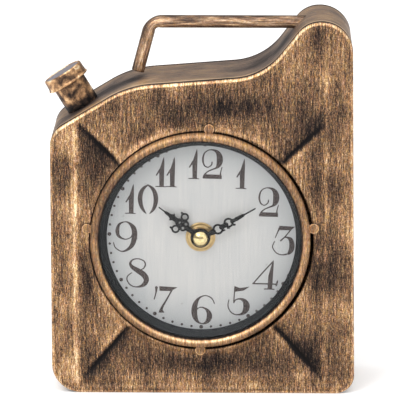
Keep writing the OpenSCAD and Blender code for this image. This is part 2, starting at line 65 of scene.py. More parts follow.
# Corners of the can's outline, anticlockwise from the bottom left: across, up, fillet radius
CORNERS = [
    (LEFT, 0, 16.5),
    (-LEFT + 1.4, 0, 10.5),
    (-LEFT - 1.4, TOP, 17.5),
    (58, TOP, 16),
    (34.2, 182.7, 36.5),
    (-41.3, 176.8, 56),
    (LEFT, 150.4, 13.5),
]
dial_low, dial_high = (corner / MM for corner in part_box("dial_plate"))
DIAL = np.array([(dial_low.x + dial_high.x) / 2, (dial_low.z + dial_high.z) / 2])
DIAL_FACE = dial_low.y
HOLE = DIAL + np.array([0.8, -0.8])
HOLE_R = 63.2
BEZEL_R = 61.75
BACK_HOLE_R = 44
# How far in from the outline the field starts, and how deep it lies behind the rim
FIELD_INSET = 6
FIELD_DROP = 1.3
# The pressed front: two upright ridges, a low ridge, a fold above the dial, and four creases,
# each from its corner inward, with its shaded side on the right of that way
RIDGE_LEFT, RIDGE_RIGHT, RIDGE_LOW, FOLD_HIGH = -71, 69, 8.5, 157
FACET_SLOPE = 0.14
CREASES = [
    ((-69.9, 156.1), (-46.0, 131.4)),
    ((66.7, 154.4), (46.1, 134.3)),
    ((-65.9, 9.5), (-41.9, 37.0)),
    ((66.9, 9.5), (41.7, 38.0)),
]


# ---- Node materials ----

class Shader:
    """A node material around one Principled surface."""

    def __init__(self, name, **settings):
        self.material = bpy.data.materials.new(name)
        self.material.use_nodes = True
        self.tree = self.material.node_tree
        self.tree.nodes.clear()
        self.output = self.add("ShaderNodeOutputMaterial")
        self.surface = self.add("ShaderNodeBsdfPrincipled")
        self.tree.links.new(self.surface.outputs["BSDF"], self.output.inputs["Surface"])
        for key, value in settings.items():
            self.set(key.replace("_", " ").title().replace("Ior", "IOR"), value)

    def add(self, kind, **settings):
        node = self.tree.nodes.new(kind)
        for key, value in settings.items():
            setattr(node, key, value)
        return node

    def feed(self, socket, value):
        if isinstance(value, bpy.types.NodeSocket):
            self.tree.links.new(value, socket)
        elif isinstance(value, tuple) and len(value) == 3 and len(socket.default_value) == 4:
            socket.default_value = (*value, 1)
        else:
            socket.default_value = value

    def set(self, name, value):
        self.feed(self.surface.inputs[name], value)

    def maths(self, operation, a, b):
        node = self.add("ShaderNodeMath", operation=operation)
        self.feed(node.inputs[0], a)
        self.feed(node.inputs[1], b)
        return node.outputs[0]

    def total(self, *terms):
        whole = terms[0]
        for term in terms[1:]:
            whole = self.maths("ADD", whole, term)
        return whole

    def attribute(self, name, output="Fac"):
        return self.add("ShaderNodeAttribute", attribute_name=name).outputs[output]

    def place(self):
        """The place on the object in millimetres."""
        return self.scaled(self.add("ShaderNodeTexCoord").outputs["Object"], 1 / MM)

    def scaled(self, vector, scale):
        """The vector times one number, or times one for each axis."""
        node = self.add("ShaderNodeMapping")
        self.feed(node.inputs["Vector"], vector)
        self.feed(node.inputs["Scale"], scale if isinstance(scale, tuple) else (scale,) * 3)
        return node.outputs[0]

    def along(self, vector, axis):
        node = self.add("ShaderNodeSeparateXYZ")
        self.feed(node.inputs[0], vector)
        return node.outputs[axis]

    def texture(self, kind, vector, **inputs):
        """A texture node over a vector, with its other inputs by name."""
        node = self.add("ShaderNodeTex" + kind)
        self.feed(node.inputs["Vector"], vector)
        for name, value in inputs.items():
            self.feed(node.inputs[name], value)
        return node

    def noise(self, vector, scale, detail=2.0, gain=1.0, roughness=0.55, distortion=0.0):
        """Noise about zero, times gain. The scale is in features per millimetre."""
        node = self.texture("Noise", self.scaled(vector, scale), Scale=1, Detail=detail,
                            Roughness=roughness, Distortion=distortion)
        return self.maths("MULTIPLY", self.maths("SUBTRACT", node.outputs["Fac"], 0.5), gain)

    def ramp(self, value, stops, steps=False):
        """Colours along a value. A stop is its position, then its screen levels."""
        node = self.add("ShaderNodeValToRGB")
        self.feed(node.inputs[0], value)
        node.color_ramp.interpolation = "CONSTANT" if steps else "LINEAR"
        elements = node.color_ramp.elements
        while len(elements) < len(stops):
            elements.new(0.5)
        for element, (position, *levels) in zip(elements, stops):
            element.position = position
            element.color = (*srgb(*levels), 1)
        return node.outputs[0]

    def span(self, value, low, high, to_low, to_high):
        node = self.add("ShaderNodeMapRange")
        for socket, number in zip(node.inputs, (value, low, high, to_low, to_high)):
            self.feed(socket, number)
        return node.outputs[0]

    def mix(self, share, a, b):
        node = self.add("ShaderNodeMix", data_type="RGBA")
        self.feed(node.inputs[0], share)
        self.feed(node.inputs[6], a)
        self.feed(node.inputs[7], b)
        return node.outputs[2]

    def tinted(self, colour, hue, depth):
        """The colour with its hue and its saturation shifted by two small amounts about zero."""
        node = self.add("ShaderNodeHueSaturation")
        self.feed(node.inputs["Color"], colour)
        self.feed(node.inputs["Hue"], self.maths("ADD", hue, 0.5))
        self.feed(node.inputs["Saturation"], self.maths("ADD", depth, 1.0))
        return node.outputs[0]

    def roughen(self, base, texture, gain):
        """A roughness that wavers about a base with a texture about zero."""
        self.set("Roughness", self.total(base, self.maths("MULTIPLY", texture, gain)))

    def bump(self, height, depth, strength=1.0):
        """Relief from a height about zero. The depth is in millimetres."""
        node = self.add("ShaderNodeBump")
        self.feed(node.inputs["Height"], height)
        node.inputs["Distance"].default_value = depth * MM
        node.inputs["Strength"].default_value = strength
        self.set("Normal", node.outputs[0])


def srgb(*levels):
    """A colour given in screen levels from 0 to 255, as linear light."""
    return tuple(((v / 255 + 0.055) / 1.055) ** 2.4 if v > 10 else v / 255 / 12.92 for v in levels)


# The paint's colours, from bare and dark to worn and bright
BRONZE = [
    (0.0, 18, 15, 15), (0.2, 48, 38, 34), (0.42, 98, 75, 57), (0.58, 142, 109, 80),
    (0.76, 188, 146, 105), (0.92, 220, 180, 134), (1.0, 250, 224, 184),
]
BAND = [
    (0.0, 24, 22, 24), (0.3, 74, 63, 58), (0.5, 126, 107, 94), (0.7, 168, 136, 104),
    (0.95, 232, 198, 156),
]
WORN_BAR = [
    (0.0, 32, 27, 27), (0.25, 66, 53, 48), (0.5, 128, 102, 82), (0.7, 180, 146, 116),
    (0.92, 238, 206, 170),
]


def brushed_bronze(name, stops, streaks, grain, speckle, patches, level=0.0, metallic=0.6,
                   rough=0.62):
    """Dark bronze paint, dry-brushed along the grain. Wear 0 is bare dark paint, 1 is worn bright.

    The grain attribute runs along the brush strokes, then across them, in millimetres. Streaks,
    grain, speckle and patches are the strengths of four layers of noise, level shifts the whole
    wear, and rough is the roughness of the dark paint."""
    shader = Shader(name, metallic=metallic, specular_ior_level=0.25)
    way = shader.attribute("grain", "Vector")
    stroke = shader.noise(way, (0.07, 0.8, 1), detail=3, gain=streaks)
    fine = shader.noise(way, (0.3, 2.1, 1), detail=2, gain=grain)
    spots = shader.noise(way, (1.1, 2.0, 1), detail=3, gain=speckle, roughness=0.75)
    cloud = shader.noise(way, (0.035, 0.05, 1), detail=1.5, gain=patches)
    # On some pieces the worn value carries painted light and shade as well
    wear_and_light = shader.total(shader.attribute("wear_and_light"), stroke, fine, spots, cloud, level)
    hue = shader.noise(way, (0.12, 0.5, 1), detail=3, gain=0.06)
    depth = shader.noise(way, (0.5, 0.9, 1), detail=2, gain=0.9)
    shader.set("Base Color", shader.tinted(shader.ramp(wear_and_light, stops), hue, depth))
    shader.set("Roughness", shader.span(wear_and_light, 0.1, 0.9, rough, rough - 0.24))
    shader.bump(shader.total(stroke, fine, spots), 0.12, 0.5)
    return shader.material


def bronze_mottled(name, level=0.0):
    """Cast-looking parts: the same paint, dabbed on in spots."""
    shader = Shader(name, metallic=0.6, specular_ior_level=0.25)
    place = shader.place()
    dabs = shader.noise(place, 0.16, detail=3, gain=2.3, distortion=0.4)
    spots = shader.noise(place, 1.1, detail=3, gain=0.55, roughness=0.7)
    # On some pieces the worn value carries painted light and shade as well
    wear_and_light = shader.total(shader.attribute("wear_and_light"), dabs, spots, level)
    shader.set("Base Color", shader.ramp(wear_and_light, BRONZE))
    shader.set("Roughness", shader.span(wear_and_light, 0.1, 0.9, 0.6, 0.34))
    shader.bump(shader.total(dabs, spots), 0.05, 0.5)
    return shader.material


def plain_metal(name, colour, roughness, grain=0.08):
    """Bare or polished metal with faint tonal variation and fine tool marks."""
    shader = Shader(name, metallic=1.0)
    place = shader.place()
    tone = shader.noise(place, 0.6, detail=3, gain=1.5)
    marks = shader.noise(place, 3.0)
    dark = tuple(0.55 * v for v in colour)
    shader.set("Base Color", shader.mix(shader.total(tone, 0.25), colour, dark))
    shader.roughen(roughness, marks, grain)
    shader.bump(marks, 0.02, 0.3)
    return shader.material


def moulded(name, colour, roughness=0.5, texture=0.03, lightness=0.25, gloss=0.5):
    """Moulded plastic or rubber with a fine spark texture."""
    shader = Shader(name, ior=1.48, specular_ior_level=gloss)
    place = shader.place()
    spark = shader.noise(place, 4.0)
    cloud = shader.noise(place, 0.15, gain=1.6)
    pale = tuple(min(1, v * (1 + lightness) + 0.01) for v in colour)
    shader.set("Base Color", shader.mix(shader.total(cloud, 0.5), colour, pale))
    shader.roughen(roughness, spark, 0.25)
    shader.bump(spark, texture, 0.6)
    return shader.material


def dial_face():
    """Silvery dial, faintly brushed upright, a little darker towards its edge, with grey specks."""
    shader = Shader("dial_face", roughness=0.42, metallic=0.15)
    place = shader.place()
    brushing = shader.noise(place, (1.4, 1, 0.05), detail=3, gain=0.5)
    cloud = shader.noise(place, (0.03, 1, 0.03), gain=0.3)
    tone = shader.total(brushing, cloud, 0.5)
    pale = shader.ramp(tone, [(0.3, 176, 177, 177), (0.7, 196, 194, 190)])
    away = shader.add("ShaderNodeVectorMath", operation="DISTANCE")
    shader.feed(away.inputs[0], place)
    shader.feed(away.inputs[1], (DIAL[0], DIAL_FACE, DIAL[1]))
    edge = shader.span(away.outputs["Value"], 30, 55, 0.0, 0.7)
    base = shader.mix(edge, pale, srgb(158, 162, 164))
    dust_and_light = shader.texture("Voronoi", shader.scaled(place, 0.11), Scale=1)
    speck = shader.maths("LESS_THAN", dust_and_light.outputs["Distance"], 0.055)
    shader.set("Base Color", shader.mix(speck, base, srgb(150, 148, 146)))
    shader.bump(brushing, 0.02, 0.3)
    return shader.material


def print_ink():
    """Dark brown-grey print that is worn thin in places."""
    shader = Shader("print_ink", roughness=0.6)
    thin = shader.noise(shader.place(), (0.7, 0.7, 0.35), detail=4, roughness=0.7)
    stops = [(0.3, 44, 36, 35), (0.58, 64, 54, 52), (0.76, 114, 104, 100)]
    shader.set("Base Color", shader.ramp(shader.total(thin, 0.5), stops))
    return shader.material


def clear_glass():
    """Flat clear glass: it lets the dial through and adds a faint reflection."""
    shader = Shader("clear_glass")
    clear = shader.add("ShaderNodeBsdfTransparent")
    gloss = shader.add("ShaderNodeBsdfGlossy")
    smear = shader.noise(shader.place(), 0.05, detail=3, gain=0.06)
    shader.feed(gloss.inputs["Roughness"], shader.total(smear, 0.05))
    facing = shader.add("ShaderNodeFresnel")
    facing.inputs["IOR"].default_value = 1.45
    both = shader.add("ShaderNodeMixShader")
    shader.feed(both.inputs[0], shader.maths("MULTIPLY", facing.outputs[0], 0.25))
    shader.feed(both.inputs[1], clear.outputs[0])
    shader.feed(both.inputs[2], gloss.outputs[0])
    shader.tree.nodes.remove(shader.surface)
    shader.feed(shader.output.inputs["Surface"], both.outputs[0])
    return shader.material


def recess_wall():
    """Dark grey wall between glass and dial, with worn paint specks, and a painted highlight
    towards its foot, where light from above falls.
    """
    shader = Shader("recess_wall", specular_ior_level=0.12)
    place = shader.place()
    specks = shader.noise(place, 1.2, detail=3, roughness=0.7)
    # Painted light: lighter towards the bottom of the wall, which faces up
    dust_and_light = shader.span(shader.along(place, "Z"), DIAL[1] - 54, DIAL[1] - 30, 0.13, 0.0)
    tone = shader.total(specks, dust_and_light, 0.5)
    stops = [(0.35, 8, 9, 10), (0.6, 26, 30, 33), (0.78, 78, 80, 82)]
    shader.set("Base Color", shader.ramp(tone, stops))
    shader.set("Roughness", shader.span(tone, 0.3, 0.7, 0.45, 0.65))
    shader.bump(specks, 0.06, 0.5)
    return shader.material


def cell_sleeve():
    """Printed sleeve of the battery cell: a dark green body, a copper band, bare metal ends."""
    low, high = (corner.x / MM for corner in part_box("battery_cell"))
    shader = Shader("cell_sleeve")
    place = shader.place()
    share = shader.span(shader.along(place, "X"), low, high, 0.0, 1.0)
    stops = [(0.0, 196, 196, 192), (0.03, 38, 84, 62), (0.665, 196, 140, 86),
             (0.935, 200, 200, 196)]
    shader.set("Base Color", shader.ramp(share, stops, steps=True))
    scuffs = shader.noise(place, (0.5, 2, 2), detail=3)
    shader.roughen(0.3, scuffs, 0.2)
    shader.bump(scuffs, 0.02, 0.3)
    return shader.material


def circuit_lacquer():
    """Green solder mask with paler tracks."""
    shader = Shader("circuit_lacquer", roughness=0.3)
    place = shader.place()
    tracks = shader.texture("Brick", shader.scaled(place, 0.3), Color1=srgb(36, 88, 50),
                            Color2=srgb(30, 74, 44), Mortar=srgb(70, 130, 74))
    shader.set("Base Color", tracks.outputs["Color"])
    shader.bump(shader.noise(place, 3.0), 0.02, 0.3)
    return shader.material


def wound_wire():
    """Enamelled copper wire, wound in fine turns along x."""
    shader = Shader("wound_wire", metallic=0.8, roughness=0.3)
    turns = shader.texture("Wave", shader.place(), Scale=1.6, Distortion=0.3).outputs["Fac"]
    shader.set("Base Color", shader.ramp(turns, [(0.0, 96, 44, 18), (1.0, 206, 122, 70)]))
    shader.bump(turns, 0.15, 0.8)
    return shader.material


# ---- Mesh helpers ----

def put(name, data):
    """A new object in the scene."""
    thing = bpy.data.objects.new(name, data)
    bpy.context.scene.collection.objects.link(thing)
    return thing


def make_piece(name, points, faces, material, body, replaced=(), smooth=True):
    """A mesh piece from points in millimetres, riding on a body and standing for CAD nodes."""
    mesh = bpy.data.meshes.new(name)
    mesh.from_pydata([tuple(p) for p in np.asarray(points, float) * MM], [], faces)
    mesh.validate()
    mesh.update()
    if smooth:
        mesh.shade_smooth()
    else:
        mesh.shade_flat()
    mesh.materials.append(material)
    piece = put(name, mesh)
    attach(piece, body)
    if replaced:
        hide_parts(*replaced)
    return piece


def set_wear(piece, wear_and_light, grain):
    """Stores how worn each vertex is, with painted light and shade, and its place along and across
    the brush strokes.
    """
    count = len(piece.data.vertices)
    values = piece.data.attributes.new("wear_and_light", "FLOAT", "POINT")
    values.data.foreach_set("value", np.broadcast_to(np.asarray(wear_and_light, np.float32), count).copy())
    ways = np.zeros((count, 3), np.float32)
    ways[:, :2] = grain
    vectors = piece.data.attributes.new("grain", "FLOAT_VECTOR", "POINT")
    vectors.data.foreach_set("vector", ways.ravel())


def thicken(piece):
    """Gives a sheet its thickness, inward from its outer face."""
    solid = piece.modifiers.new("sheet", "SOLIDIFY")
    solid.thickness = SHEET * MM
    solid.offset = -1
    solid.use_even_offset = False


def grid_faces(rows, columns, close_rows=False, flip=False):
    """Quads between neighbouring rows, which are closed rings of equal length."""
    faces = []
    for r in range(rows if close_rows else rows - 1):
        for c in range(columns):
            a = r * columns + c
            b = r * columns + (c + 1) % columns
            d = ((r + 1) % rows) * columns + c
            e = ((r + 1) % rows) * columns + (c + 1) % columns
            faces.append((a, d, e, b) if flip else (a, b, e, d))
    return faces


def tube_faces(rows, columns, flip=False):
    """The quads round a closed tube of rows, and a face over each end."""
    first = list(range(columns))[::-1]
    last = [(rows - 1) * columns + c for c in range(columns)]
    ends = [first[::-1], last[::-1]] if flip else [first, last]
    return grid_faces(rows, columns, flip=flip) + ends


def bell(t):
    return np.exp(-np.square(t))


def smooth_step(t):
    t = np.clip(t, 0, 1)
    return t * t * (3 - 2 * t)


def to_segment(x, z, start, end):
    """Distance to a segment, and how far along it the nearest place is, from 0 to 1."""
    (ax, az), (bx, bz) = start, end
    length = (bx - ax) ** 2 + (bz - az) ** 2
    along = np.clip(((x - ax) * (bx - ax) + (z - az) * (bz - az)) / length, 0, 1)
    return np.hypot(x - ax - along * (bx - ax), z - az - along * (bz - az)), along


def field_noise(x, z, size, seed=0):
    """Smooth noise over a field of points, with bumps of the given size in millimetres."""
    return np.array([noise.noise(Vector((a / size, b / size, seed))) for a, b in zip(x, z)])


# ---- The can's outline ----

def fillet(i, inset):
    """The arc at corner i of the outline moved inward by inset, as across + up * 1j."""
    before, here, after = (complex(*CORNERS[k % len(CORNERS)][:2]) for k in (i - 1, i, i + 1))
    a, b = (here - before) / abs(here - before), (after - here) / abs(after - here)
    turn = cmath.phase(b / a)
    way = math.copysign(1, turn)
    radius = CORNERS[i][2] - way * inset
    vertex = here + inset * 1j * (a + b) / (1 + (a * b.conjugate()).real)
    start = vertex - radius * math.tan(abs(turn) / 2) * a
    arm = -way * radius * 1j * a
    steps = math.ceil(CORNERS[i][2] * abs(turn) / SPACING)
    return [start - arm + arm * cmath.exp(1j * turn * k / steps) for k in range(steps + 1)]


def outline(inset=0.0):
    """The outline moved inward by inset. Outlines of any inset pair up point by point."""
    count = len(CORNERS)
    points = []
    for i in range(count):
        arc = fillet(i, inset)
        following = fillet((i + 1) % count, inset)[0]
        corner_gap = np.subtract(CORNERS[(i + 1) % count][:2], CORNERS[i][:2])
        pieces = math.ceil(np.hypot(*corner_gap) / SPACING)
        points += arc
        points += [arc[-1] + (following - arc[-1]) * k / pieces for k in range(1, pieces)]
    return np.column_stack([np.real(points), np.imag(points)])


def arc_lengths(points):
    """How far along a line of points each of them lies."""
    return np.concatenate([[0], np.cumsum(np.hypot(*np.diff(points, axis=0).T))])


def stand(flat, level):
    """Points across and up, stood upright at a level from front to back."""
    return np.insert(np.asarray(flat, float), 1, level, axis=1)


# ---- The pressed front and the back ----

def crease_strength(along):
    """How strong a crease is along its length: weak at its corner, strongest past its middle."""
    return np.sin(math.pi * (0.1 + 0.65 * along))


def pressed_depth(x, z):
    """Depth of the front behind its rim: ridges, four facets, creases and the lip of the hole."""
    left, right = x - RIDGE_LEFT, RIDGE_RIGHT - x
    low, high = z - RIDGE_LOW, FOLD_HIGH - z
    # The low facet starts steeply
    low_run = np.where(low < 6, 1.7 * low, 0.857 * low + 5.06)
    inside = np.clip(np.minimum.reduce([left, right, low_run, high]), 0, None)
    ridge = np.maximum.reduce([
        bell(left / 2.4), 0.8 * bell(right / 2.6), 0.7 * bell(low / 2.5), 0.35 * bell(high / 3)])
    depth = FIELD_DROP - ridge + FACET_SLOPE * inside
    for start, end in CREASES:
        away, along = to_segment(x, z, start, end)
        depth += 1.1 * crease_strength(along) * bell(away / 1.4)
    depth += 0.45 * field_noise(x, z, 34) + 0.14 * field_noise(x, z, 11, 5)
    around = np.hypot(x - HOLE[0], z - HOLE[1]) - HOLE_R
    lip = bell(around / 3)
    return depth * (1 - lip) + 0.75 * lip


# Places painted brighter or darker: across, up, half width, half height, change
PATCHES = [
    # (63, 30, ...) is painted shade by the lower right crease, (-72, 16, ...) a painted highlight
    # at the bottom-left corner
    (17, 166, 32, 6, -0.18), (-16, 156, 17, 6, -0.12), (44, 158, 9, 9, -0.1),
    (-78.5, 66, 3.5, 12, -0.2), (-63.5, 68, 4, 16, -0.14), (-77, 121, 5, 14, -0.1),
    (-60, 128, 6, 13, -0.12), (11, 17.5, 25, 6, -0.2), (-14, 18, 14, 5, -0.12),
    (72, 78, 5, 28, -0.1), (63, 30, 9, 9, -0.16), (74, 120, 5, 20, -0.08),
    (4, 163, 45, 8, -0.16), (0, 15, 60, 7, -0.06), (64, 92, 5, 36, -0.16),
    (-79.5, 50, 4, 13, 0.2), (-72, 16, 9, 16, 0.04), (-63, 36, 5, 12, 0.07),
    (63, 53, 9, 9, 0.1), (0, 6, 70, 4, 0.08), (-76, 96, 4, 12, 0.06),
    (71, 188, 9, 14, 0.15), (80, 150, 3, 40, 0.06), (-80, 143, 6, 8, 0.12),
    (-71, 142, 9, 8, 0.04), (69, 40, 6, 12, -0.08), (-79, 90, 4, 30, -0.06),
]


def front_wear(x, z):
    """Wear and painted light of the front: bright ridges and lip, painted shade at creases,
    patches.
    """
    wear_and_light = np.full(x.shape, 0.5)
    wear_and_light += 0.06 * (x < RIDGE_LEFT) + 0.03 * (x > RIDGE_RIGHT)
    # The ridges are worn bright and carry a painted highlight, with painted shade along their feet
    wear_and_light += 0.29 * bell((x - RIDGE_LEFT) / 1.9) + 0.16 * bell((x - RIDGE_RIGHT) / 1.6)
    wear_and_light -= 0.06 * bell((x - RIDGE_LEFT - 7) / 5) + 0.06 * bell((x - RIDGE_RIGHT + 6) / 5)
    wear_and_light += 0.16 * bell((np.hypot(x - HOLE[0], z - HOLE[1]) - HOLE_R - 1.5) / 2.5)
    for start, end in CREASES:
        away, along = to_segment(x, z, start, end)
        strength = crease_strength(along)
        run, rise = np.subtract(end, start)
        shaded = (x - start[0]) * rise > (z - start[1]) * run
        # Painted shade in each crease's fold and widely over its shaded side, and a painted
        # highlight beside it on the other side
        wear_and_light -= strength * 0.45 * bell(away / 1.1)
        wear_and_light -= strength * 0.34 * bell(away / np.where(shaded, 5.5, 1.6))
        wear_and_light += strength * 0.12 * bell((away - 3) / 1.5) * ~shaded
    for across, up, half_width, half_height, change in PATCHES:
        wear_and_light += change * bell((x - across) / half_width) * bell((z - up) / half_height)
    return wear_and_light


def panel(name, material, pressed):
    """One end of the can: a rolled rim, a sunk field and a round hole with a turned lip."""
    way = 1 if pressed else -1
    face = FRONT if pressed else BACK
    hole, hole_r = (HOLE, HOLE_R) if pressed else (DIAL, BACK_HOLE_R)
    rows, wear_and_light_values = [], []

    def add_row(points, depth, wear_and_light):
        rows.append(stand(points, face + way * depth))
        wear_and_light_values.append(np.broadcast_to(wear_and_light, len(points)))

    def depth_at(points):
        if pressed:
            return pressed_depth(*points.T)
        return FIELD_DROP + 0.3 * field_noise(*points.T, 40)

    def wear_at(points):
        return front_wear(*points.T) if pressed else 0.44 + 0.12 * field_noise(*points.T, 25, 3)

    # The edge tucked into the band, the rolled rim, then the step down to the field
    # The tucked edge is painted dark as shade in the seam groove
    for inset, depth in ((1.4, SEAM + 4), (1.4, SEAM), (0.8, SEAM - 0.2), (0.2, SEAM - 0.6)):
        add_row(outline(inset), depth, 0.1)
    # The front's rolled rim carries a painted highlight, strongest where the outline faces up
    upward = np.clip(outline(0)[:, 1] - outline(1)[:, 1], 0, 1)
    for a in np.radians(range(0, 91, 10)):
        glow = 0.5 + (0.26 + 0.19 * upward) * math.sin(2 * a) if pressed else 0.5
        add_row(outline(RIM_R * (1 - math.cos(a))), RIM_R * (1 - math.sin(a)), glow)
    for share in np.linspace(0, 1, 7)[1:-1]:
        ring = outline(RIM_R + share * (FIELD_INSET - RIM_R))
        glow = (0.56 if pressed else 0.5) * (1 - share)
        add_row(ring, depth_at(ring) * smooth_step(share), glow + wear_at(ring) * share)
    # The field, in rings that narrow to the hole, and the turned lip
    field = outline(FIELD_INSET)
    arms = hole - field
    reach = np.hypot(*arms.T)[:, None]
    edge = hole - arms / reach * hole_r
    gap = np.hypot(*(edge - DIAL).T) - BEZEL_R
    shade = 0.5 * smooth_step(1.6 - gap) if pressed else 0
    for share in np.append(np.linspace(0, 0.9, 60), np.linspace(0.912, 1, 12)):
        ring = field + (edge - field) * share
        add_row(ring, depth_at(ring), wear_at(ring) - (share > 0.985) * shade)
    # The turned lip is painted darker the deeper it turns into the gap: painted shade
    for inward, deeper in ((0.25, 0.1), (0.4, 0.4), (0.4, 1.6)):
        ring = hole - arms / reach * (hole_r - inward)
        add_row(ring, depth_at(edge) + deeper, 0.75 - deeper - shade)
    points = np.concatenate(rows)
    faces = grid_faces(len(rows), len(field), flip=not pressed)
    node_name = "front_panel" if pressed else "back_panel"
    piece = make_piece(name, points, faces, material, "can", [node_name])
    set_wear(piece, np.concatenate(wear_and_light_values), points[:, [2, 0]])
    thicken(piece)


# Stains and rubbed places on the band, most of them at the feet of the neck and the handle,
# where the dark ones are partly painted shade: across, up, back, size, change
STAINS_AND_SHADE = [
    (-66, 160, -9, 9, -0.4), (-60, 165, 2, 10, -0.25), (-39, 177, -2, 7, -0.35),
    (-50, 171, -6, 8, -0.3), (-37, 178, -19, 7, 0.26), (-64, 162, -23, 9, 0.2),
    (46, 198, -4, 12, -0.34), (60, 213, 2, 7, -0.12), (30, 186, 0, 14, -0.12),
    (5, 181, 12, 30, -0.05), (66, TOP, -14, 9, 0.14), (76, 206, -18, 7, 0.1),
    (-15, 180, -22, 12, 0.08),
]


def band():
    """The strip between the two rims, a touch below them, so that both seams show as grooves."""
    length = BACK - FRONT
    paint = brushed_bronze("bronze_band", BAND, 0.7, 0.45, 0.3, 0.8, 0.06)
    # Rows of points: depth behind the front, inset, and the worn value, with painted shade in the
    # seam grooves
    front_rows = [(SEAM, 1.2, 0.02), (SEAM + 0.3, 1.0, 0.02), (SEAM + 0.8, 0.4, 0.02),
                  (SEAM + 1.3, 0.12, 0.05), (SEAM + 2.6, 0.05, 0.08), (SEAM + 3.4, 0.05, 0.9),
                  (SEAM + 4.4, 0.05, 0.86), (SEAM + 5.6, 0.05, 0.54)]
    middle = np.linspace(SEAM + 6, length - SEAM - 3, 22)[1:]
    back_rows = [(length - SEAM - 1, 0.12, 0.45), (length - SEAM - 0.4, 0.4, 0.3),
                 (length - SEAM, 1.2, 0.1)]
    rows = front_rows + [(depth, 0.05, 0.5) for depth in middle] + back_rows
    points, grains, wear_and_light_values = [], [], []
    for depth, inset, worn in rows:
        ring = outline(inset)
        run = arc_lengths(ring)
        dents = np.clip(0.15 * field_noise(run, np.full(len(run), depth), 30, 7), 0, 1)
        ring = ring + (outline(inset + 1) - ring) * dents[:, None]
        row = stand(ring, FRONT + depth)
        wear_and_light = np.full(len(run), float(worn))
        for across, up, back, size, change in STAINS_AND_SHADE:
            away = np.linalg.norm(row - (across, back, up), axis=1)
            wear_and_light += change * bell(away / size)
        points.append(row)
        grains.append(np.column_stack([run, np.full(len(run), depth)]))
        wear_and_light_values.append(wear_and_light)
    faces = grid_faces(len(points), len(points[0]), flip=True)
    piece = make_piece("band_sheet", np.concatenate(points), faces, paint, "can",
                       ["can_band"])
    set_wear(piece, np.concatenate(wear_and_light_values), np.concatenate(grains))
    thicken(piece)


# ---- Round pieces ----

def lathe(name, profile, origin, axis, material, body, replaced=(), wear_and_light=0.5,
          steps=120, closed=False, upright=False):
    """A turned piece: (radius, height) points about an axis. Wear is a number or one per point.

    A closed profile has no ends to cap. The brush strokes run along the profile, or upright."""
    axis = Vector(axis).normalized()
    side = axis.orthogonal().normalized()
    other = axis.cross(side)
    turns = [2 * math.pi * s / steps for s in range(steps)]
    points = [Vector(origin) + axis * height + (side * math.cos(a) + other * math.sin(a)) * radius
              for radius, height in profile for a in turns]
    grain = [(run, radius * a) for run, (radius, _) in zip(arc_lengths(profile), profile)
             for a in turns]
    if closed:
        faces = grid_faces(len(profile), steps, close_rows=True)
    else:
        faces = tube_faces(len(profile), steps)
    piece = make_piece(name, points, faces, material, body, replaced)
    wear_and_light_values = np.repeat(np.broadcast_to(wear_and_light, len(profile)), steps)
    set_wear(piece, wear_and_light_values, np.array(points)[:, [2, 0]] if upright else np.array(grain))
    return piece


def arc(centre, radius, start, end, steps=8):
    """Points of an arc, with angles in degrees from the first axis towards the second."""
    return [(centre[0] + radius * math.cos(math.radians(start + (end - start) * k / steps)),
             centre[1] + radius * math.sin(math.radians(start + (end - start) * k / steps)))
            for k in range(steps + 1)]


def rub_upward(piece, middle_r):
    """Painted highlight on the up-facing slopes of a ring about the dial's axis, painted shade on
    its left."""
    points = np.array([vertex.co for vertex in piece.data.vertices]) / MM
    across, up = points[:, 0] - DIAL[0], points[:, 2] - DIAL[1]
    radius = np.hypot(across, up)
    facing = up / radius * np.sign(radius - middle_r) * smooth_step(abs(radius - middle_r) / 0.8)
    values = piece.data.attributes["wear_and_light"].data
    wear_and_light = np.empty(len(points), np.float32)
    values.foreach_get("value", wear_and_light)
    # Painted highlight where a slope faces up, more over the lower half; painted shade on the left
    amount = np.where(up > 0, 0.12, 0.26)
    change = np.clip(amount * facing + 0.1 * (up < 0), -0.02, 1)
    change -= 0.09 * np.clip(-across / radius, 0, 1) ** 2
    change *= smooth_step((wear_and_light - 0.05) / 0.2)
    values.foreach_set("value", (wear_and_light + change).astype(np.float32))


# Places of the lugs, in degrees anticlockwise from three o'clock
LUG_TURNS = {"right": 6.3, "top": 85.6, "left": 174.2, "bottom": 270}


def bezel():
    """The bead round the glass, with its four lugs."""
    top, outer, inner = -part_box("bezel_ring")[0].y / MM, BEZEL_R, 56.6
    seat_r, foot, glass = 58.5, 28.2, 31.35
    bead = (outer - inner) / 2
    middle = (outer - bead, top - bead)
    profile = [(seat_r, foot), (outer - 0.6, foot), (outer, foot + 0.4)]
    profile += arc(middle, bead, 0, 150, 20)
    profile += [(inner + 0.15, middle[1] + 0.2), (inner, middle[1] - 0.2), (inner, glass + 0.15),
                (inner + 0.2, glass), (seat_r, glass)]
    radii, heights = np.array(profile).T
    # Painted shade on the inner side of the bead and on the walls below it, down in the gaps
    wear_and_light = 0.08 + 0.48 * smooth_step((radii - 56.9) / 1.2) - 0.4 * (heights < middle[1] - 0.1)
    origin = (DIAL[0], 0, DIAL[1])
    material = brushed_bronze("bronze_bezel", BRONZE, 0.6, 0.7, 0.9, 0.3, metallic=0.5, rough=0.66)
    bead_ring = lathe("bezel_bead", profile, origin, (0, -1, 0), material, "can",
                      ["bezel_ring"], wear_and_light, steps=240, closed=True, upright=True)
    rub_upward(bead_ring, middle[0])
    for name, degrees in LUG_TURNS.items():
        lug(f"bezel_lug_{name}", math.radians(degrees), material)


def on_dial(u, v, turn):
    """A place in the dial's plane: u along an arm turned from three o'clock, v to its left."""
    return (DIAL[0] + u * math.cos(turn) - v * math.sin(turn),
            DIAL[1] + u * math.sin(turn) + v * math.cos(turn))


